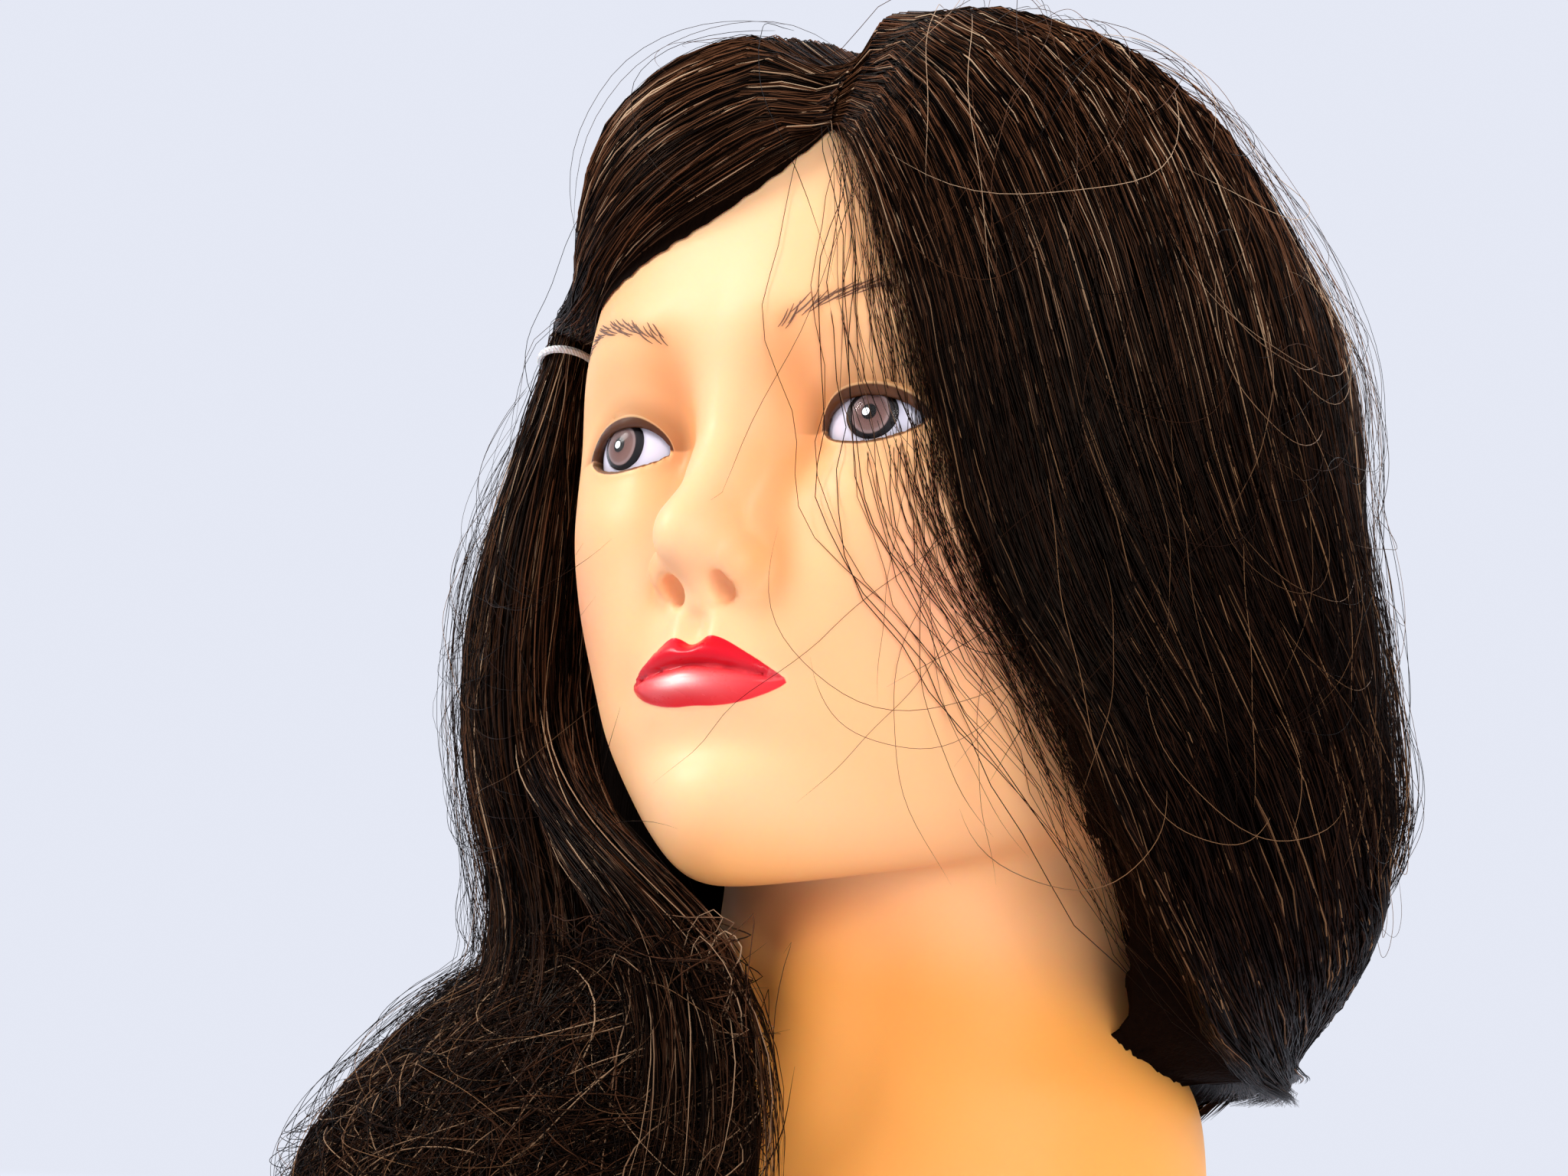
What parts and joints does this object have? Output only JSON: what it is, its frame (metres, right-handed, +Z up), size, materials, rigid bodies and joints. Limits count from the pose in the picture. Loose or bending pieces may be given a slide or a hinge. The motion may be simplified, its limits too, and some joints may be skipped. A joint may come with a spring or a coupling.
{
  "type": "mannequin training head",
  "caption": "Hairdressing practice head with a painted vinyl face, inset eyes, long parted dark hair swept round the neck, a tied side lock and a clamp socket in the base.",
  "frame": {"origin": "centre of the mouth of the clamp socket's bore, in the plane of the neck's flat base", "axes": "+Z up along the bore towards the top of the head, -Y the way the face looks, +X the head's own left"},
  "size_m": [0.252, 0.2317, 0.309],
  "materials": {
    "skin": "satin",
    "foam": "matt",
    "base": "moulded",
    "socket": "moulded",
    "screws": "zinc plated",
    "eye_white": "gloss",
    "iris": "gloss",
    "cornea": "clear",
    "hair": "combed fibre",
    "tie": "satin"
  },
  "bodies": {
    "root": {"vinyl_skin": "skin", "foam_core": "foam", "base_plate": "base", "clamp_socket": "socket", "base_screws": "screws", "eye_shell_left": "eye_white", "eye_shell_right": "eye_white", "eye_iris_left": "iris", "eye_iris_right": "iris", "eye_cornea_left": "cornea", "eye_cornea_right": "cornea", "hair_fringe_right": "hair", "hair_front_left": "hair", "hair_crown_left": "hair", "hair_crown_right": "hair", "hair_side_left": "hair", "hair_side_right": "hair", "hair_lock_right": "hair", "hair_back": "hair", "hair_nape_sweep": "hair", "hair_pile_right": "hair", "hair_tie": "tie"}
  },
  "joints": []
}
